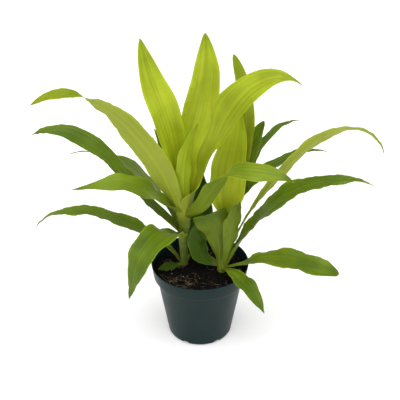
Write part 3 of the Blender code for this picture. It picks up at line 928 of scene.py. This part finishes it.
def pot_profile():
    """The pot's section, from the underside's middle round the rim to the middle of its floor."""
    outside = [(0.0, FLOOR_RECESS), (FOOT_RING_INNER - 3 * EDGE_BREAK, FLOOR_RECESS), (FOOT_RING_INNER, 0.0)]
    for degrees in range(0, 91, 10):
        turn = math.radians(degrees)
        outside.append((
            WALL_FOOT_RADIUS - FOOT_ROUNDING * (1 - math.sin(turn)),
            FOOT_ROUNDING * (1 - math.cos(turn)),
        ))
    under_collar = (WALL_TOP_RADIUS, WALL_TOP_HEIGHT)
    collar_foot = (COLLAR_FOOT_RADIUS, COLLAR_FOOT_HEIGHT)
    lip = (RIM_RADIUS, POT_HEIGHT)
    lip_inside = (RIM_RADIUS - WALL_THICKNESS, POT_HEIGHT)
    outside += rounded(under_collar, outside[-1], collar_foot, 2 * EDGE_BREAK)
    outside += rounded(collar_foot, under_collar, lip, 1.5 * EDGE_BREAK)
    outside += rounded(lip, collar_foot, lip_inside, EDGE_BREAK)
    floor = FLOOR_RECESS + FLOOR_THICKNESS
    ledge = (COLLAR_FOOT_RADIUS - WALL_THICKNESS, COLLAR_FOOT_HEIGHT + WALL_THICKNESS)
    inside = rounded(lip_inside, lip, ledge, EDGE_BREAK)
    inside += [
        ledge,
        (WALL_TOP_RADIUS - WALL_THICKNESS, WALL_TOP_HEIGHT + EDGE_BREAK),
        (inner_wall(floor + FLOOR_CORNER), floor + FLOOR_CORNER),
        (inner_wall(floor + FLOOR_CORNER) - FLOOR_CORNER, floor),
        (0.0, floor),
    ]
    return outside + inside


def moulded_plastic():
    """The pot's finish: dark slate green plastic, softly mottled, with faint scuffs and dust at its edges."""
    skin = Skin("moulded_plastic", {"Specular IOR Level": 0.15})
    deep, pale = (0.0018, 0.0125, 0.0125, 1.0), (0.004, 0.018, 0.0172, 1.0)
    dusty = (0.034, 0.056, 0.054, 1.0)
    place = skin.place()
    height = skin.separate(place)[2]
    mottle = skin.noise(place, scale=45.0, detail=4.0)
    grain = skin.noise(place, scale=1400.0)
    scuff = skin.noise(skin.drawn_out(place, 0.12), scale=260.0, detail=4.0, roughness=0.65)
    colour = skin.mix(skin.step(mottle * 1.5 + 0.5, 0.0, 1.0), deep, pale)
    edges = skin.step(height, POT_HEIGHT - WALL_THICKNESS, POT_HEIGHT) + skin.fade(height, 0.0, FOOT_ROUNDING)
    worn = skin.step(scuff + edges * 0.16, 0.17, 0.42)
    colour = skin.mix(worn * 0.35, colour, dusty)
    roughness = 0.40 + mottle * 0.25 + worn * 0.2
    return skin.finish(colour, roughness, grain + scuff, strength=0.12, depth=0.0003)


def mould_pot():
    """The pot, turned finely and with its drain openings cut, in place of the plain one."""
    plastic = moulded_plastic()
    pot = mesh_object("pot_body", turned(pot_profile(), POT_SIDES), plastic)
    drains = bmesh.new()
    for k in range(DRAIN_COUNT):
        turn = Matrix.Rotation(math.radians(DRAIN_FIRST_ANGLE - 90 + 360 * k / DRAIN_COUNT), 4, "Z")
        place = Matrix.Translation((WALL_FOOT_RADIUS + 2.5 * EDGE_BREAK, 0.0, 0.0))
        size = Matrix.Diagonal((DRAIN_DEPTH, DRAIN_WIDTH, 2 * DRAIN_HEIGHT, 1.0))
        bmesh.ops.create_cube(drains, size=1.0, matrix=turn @ place @ size)
    cutter = mesh_object("drain_cutter", drains, plastic)
    pot.modifiers.new("drains", "BOOLEAN").object = cutter
    settle(pot)
    pot.data.set_sharp_from_angle(angle=math.radians(SMOOTH_ANGLE))
    bpy.data.objects.remove(cutter)
    keep(pot, "pot", "pot")


def soil_top(x, y):
    """Height of the lumpy soil at a place, falling a little towards the wall."""
    away = math.hypot(x, y) / RIM_RADIUS
    lump = noise.noise(Vector((x / SOIL_LUMP_SIZE, y / SOIL_LUMP_SIZE, 0.0)))
    return SOIL_HEIGHT + SOIL_LUMP * lump - SOIL_FALL * away ** 4


def potting_mix():
    """The soil's finish: near-black peat, mottled in browner black."""
    skin = Skin("potting_mix", {"Specular IOR Level": 0.12})
    deep, pale = (0.001, 0.0008, 0.0007, 1.0), (0.009, 0.0065, 0.005, 1.0)
    place = skin.place()
    clod = skin.noise(place, scale=260.0, detail=4.0, roughness=0.6)
    crumb = skin.noise(place, scale=1100.0, detail=3.0, roughness=0.7)
    colour = skin.mix(skin.step(clod + crumb + 0.4, 0.0, 1.0), deep, pale)
    return skin.finish(colour, 0.85 + crumb * 0.3, clod + crumb, strength=0.9, depth=0.0012)


def soil_body():
    """The mix as one closed body that follows the pot's inner face, with a lumpy top."""
    floor = FLOOR_RECESS + FLOOR_THICKNESS + GAP
    over_drains = floor + DRAIN_HEIGHT
    edge = COLLAR_FOOT_RADIUS - WALL_THICKNESS - GAP
    wall = [
        (0.0, floor),
        (inner_wall(over_drains) - SOIL_BASE_BEVEL, floor),
        (inner_wall(over_drains) - GAP, over_drains),
        (WALL_TOP_RADIUS - WALL_THICKNESS - GAP, WALL_TOP_HEIGHT + EDGE_BREAK + GAP),
        (edge, COLLAR_FOOT_HEIGHT + WALL_THICKNESS + GAP),
    ]
    top = [(edge * (1 - k / SOIL_RINGS), SOIL_HEIGHT) for k in range(SOIL_RINGS + 1)]
    bm = turned(wall + top, SOIL_SIDES)
    for vertex in bm.verts:
        if vertex.co.z > SOIL_HEIGHT - GAP:
            grain = SOIL_GRAIN * noise.fractal(vertex.co * SOIL_GRAIN_SCALE, 1.0, 2.0, 3)
            vertex.co.z = soil_top(vertex.co.x, vertex.co.y) + grain
    return bm


def rough_stuff(name, dark, pale, scale, roughness):
    """A dull finish of two mixed colours for what lies on the soil."""
    skin = Skin(name, {"Specular IOR Level": 0.12})
    place = skin.place()
    patch = skin.noise(place, scale)
    grain = skin.noise(place, scale * 6, roughness=0.6)
    colour = skin.mix(skin.step(patch * 1.8 + grain * 0.6 + 0.5, 0.0, 1.0), (*dark, 1.0), (*pale, 1.0))
    return skin.finish(colour, roughness + grain * 0.2, grain, strength=0.6, depth=0.0003)


def crumb_tree():
    """The tree that strews rough lumps over a sheet, each turned and sized by chance and partly sunk."""
    bench, given = shape_tree("strewn_lumps", {
        "Int": ["Detail", "Seed"],
        "Float": ["Density", "Smallest", "Largest", "Ruggedness", "Tilt"],
        "Vector": ["Proportions"],
        "Material": ["Skin"],
    })
    seed = given["Seed"]
    tilt = given["Tilt"]
    spots = bench.node("GeometryNodeDistributePointsOnFaces", {}, {
        "Mesh": given["Geometry"], "Density": given["Density"], "Seed": seed}, "Points")
    ball = bench.node("GeometryNodeMeshIcoSphere", {}, {"Radius": 1.0, "Subdivisions": given["Detail"]})
    place = bench.node("GeometryNodeInputPosition", {}, {})
    push = bench.noise(place, LUMP_KNOBS) * given["Ruggedness"]
    lump = bench.node("GeometryNodeSetPosition", {}, {"Geometry": ball, "Offset": bench.scaled(place, push)})
    least = bench.combine(tilt * -1, tilt * -1, 0.0)
    turn = bench.node("FunctionNodeRandomValue", {"data_type": "FLOAT_VECTOR"}, {
        "Min": least, "Max": bench.combine(tilt, tilt, TAU), "Seed": seed}, "Value")
    size = bench.node("FunctionNodeRandomValue", {"data_type": "FLOAT"}, {
        "Min": given["Smallest"], "Max": given["Largest"], "Seed": seed}, "Value")
    strewn = bench.node("GeometryNodeInstanceOnPoints", {}, {
        "Points": spots, "Instance": lump, "Rotation": turn,
        "Scale": bench.scaled(given["Proportions"], size),
    })
    return close_tree(bench, strewn, given["Skin"])


def soil_sheet():
    """The soil's open top as a thin sheet, for strewing."""
    verts = [(0.0, 0.0, soil_top(0.0, 0.0))]
    faces = []
    for ring in range(1, STREWN_RINGS + 1):
        away = STREWN_RADIUS * ring / STREWN_RINGS
        for k in range(STREWN_SIDES):
            turn = TAU * k / STREWN_SIDES
            x, y = away * math.cos(turn), away * math.sin(turn)
            verts.append((x, y, soil_top(x, y)))
            here = 1 + (ring - 1) * STREWN_SIDES + k
            after = here + 1 - STREWN_SIDES * (k == STREWN_SIDES - 1)
            if ring == 1:
                faces.append((0, here, after))
            else:
                faces.append((here - STREWN_SIDES, here, after, after - STREWN_SIDES))
    sheet = bpy.data.meshes.new("soil_sheet")
    sheet.from_pydata(verts, [], faces)
    return sheet


def fibre_tree():
    """The tree that drapes fine roots over the soil: rays find its height under each point."""
    bench, given = shape_tree("draped_roots", {
        "Object": ["Soil"], "Float": ["Lift", "Kinks"], "Int": ["Sides"], "Material": ["Skin"]})
    soil = bench.node("GeometryNodeObjectInfo", {}, {"Object": given["Soil"]}, "Geometry")
    place = bench.node("GeometryNodeInputPosition", {}, {})
    hit = bench.node("GeometryNodeRaycast", {}, {
        "Target Geometry": soil, "Source Position": place, "Ray Direction": (0.0, 0.0, -1.0),
        "Ray Length": DROP_LENGTH,
    }, "Hit Position")
    kink = bench.noise(place, given["Kinks"], 1.0) * 2
    lifted = bench.vector("ADD", hit, bench.combine(0.0, 0.0, given["Lift"] * (0.6 + kink)))
    draped = bench.node("GeometryNodeSetPosition", {}, {"Geometry": given["Geometry"], "Position": lifted})
    return close_tree(bench, tube(bench, draped, given["Sides"]), given["Skin"])


def fibre_lines():
    """Wandering lines over the soil, thin at both ends."""
    chance = random.Random(FIBRE_SEED)
    points = []
    edges = []
    radii = []
    for number in range(FIBRE_COUNT):
        away = STREWN_RADIUS * math.sqrt(chance.uniform(*FIBRE_AREA))
        around = chance.uniform(0, TAU)
        x, y = away * math.cos(around), away * math.sin(around)
        if number % 2:
            x = FIBRE_TANGLE[0] + x * FIBRE_TANGLE_SIZE[0]
            y = FIBRE_TANGLE[1] + y * FIBRE_TANGLE_SIZE[1]
        heading = chance.uniform(0, TAU)
        swerve = chance.uniform(-FIBRE_SWERVE, FIBRE_SWERVE)
        thick = FIBRE_RADIUS * chance.uniform(*FIBRE_RADII)
        steps = chance.randint(*FIBRE_STEPS)
        for k in range(steps + 1):
            if k and math.hypot(x, y) < STREWN_RADIUS:
                edges.append((len(points) - 1, len(points)))
            elif k:
                break
            points.append((x, y, POT_HEIGHT))
            swell = math.sin(math.pi * (k + 0.5) / (steps + 1))
            radii.append(thick * (FIBRE_END + (1 - FIBRE_END) * swell))
            heading += swerve + chance.uniform(-FIBRE_SHAKE, FIBRE_SHAKE)
            x += FIBRE_STEP * math.cos(heading)
            y += FIBRE_STEP * math.sin(heading)
    return line_mesh("fibre_lines", points, {"radius": radii}, edges)


def fill_soil():
    """The soil body in place of the plain one, with crumbs, bark, pale grains and fine roots on it."""
    body = mesh_object("soil_body", soil_body(), potting_mix(), SOIL_SMOOTH_ANGLE)
    keep(body, "soil", "soil")
    skins = {name: rough_stuff(*look) for name, look in LOOSE_LOOKS.items()}
    tree = crumb_tree()
    for name, form in LUMPS.items():
        keep(shaped(name, soil_sheet(), tree, {**form, "Skin": skins[name]}), "soil")
    fibres = shaped("root_fibres", fibre_lines(), fibre_tree(), {
        **FIBRE_FORM, "Soil": body, "Skin": skins["root_fibres"]})
    keep(fibres, "soil")


def main():
    photo_camera()
    soft_light()
    plain_floor()
    mould_pot()
    fill_soil()
    raise_stems()
    grow_leaves()


main()
